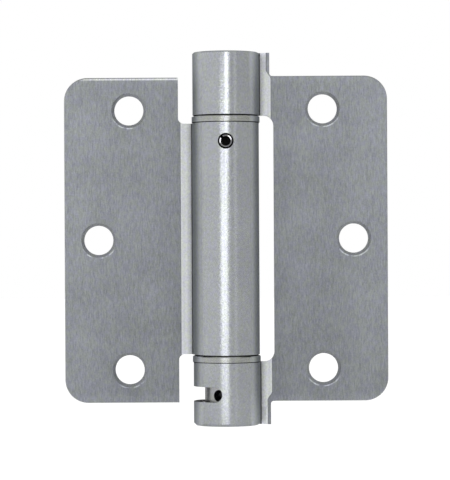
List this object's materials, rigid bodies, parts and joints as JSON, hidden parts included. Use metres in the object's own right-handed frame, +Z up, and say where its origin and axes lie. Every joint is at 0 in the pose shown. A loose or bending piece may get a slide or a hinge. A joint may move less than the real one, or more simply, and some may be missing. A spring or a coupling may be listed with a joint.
{
  "type": "spring loaded door hinge",
  "caption": "Self-closing butt hinge in satin steel, laid open: radius-cornered leaves rolled round a barrel that holds a torsion spring, its anchor and a tension adjuster.",
  "frame": {"origin": "on the hinge axis at the middle of the barrel's height, which is also the centre of the bounding box of the open hinge", "axes": "+Z up the barrel along the hinge axis, +X from the axis to the free edge of the frame leaf, +Y away from the face that the screws enter, towards the door and the frame that the open leaves lie against"},
  "size_m": [0.0884, 0.0186, 0.1016],
  "materials": {
    "satin_sheet": "satin chrome plated sheet with a fine upright grain",
    "turned_steel": "turned steel, plain satin",
    "spring_steel": "oil-darkened spring steel"
  },
  "bodies": {
    "frame": {"frame_leaf": "satin_sheet", "lower_bush": "turned_steel", "bottom_bush": "turned_steel", "top_bush": "turned_steel", "top_cap": "turned_steel"},
    "door": {"door_leaf": "satin_sheet", "upper_washer": "turned_steel", "spring_anchor": "spring_steel", "roll_pin": "spring_steel", "torsion_spring": "spring_steel"},
    "adjuster": {"tension_adjuster": "turned_steel"}
  },
  "joints": [
    {"name": "leaf_swing", "type": "hinge", "parent": "frame", "child": "door", "pos_m": [0, 0, 0], "axis": [0, 0, 1], "range_deg": [0, 180]},
    {"name": "tension_wind", "type": "hinge", "parent": "door", "child": "adjuster", "pos_m": [0, 0, 0], "axis": [0, 0, 1], "range_deg": [0, 360], "stiffness_Nm_per_rad": 0.54, "deforming": ["torsion_spring"]}
  ]
}
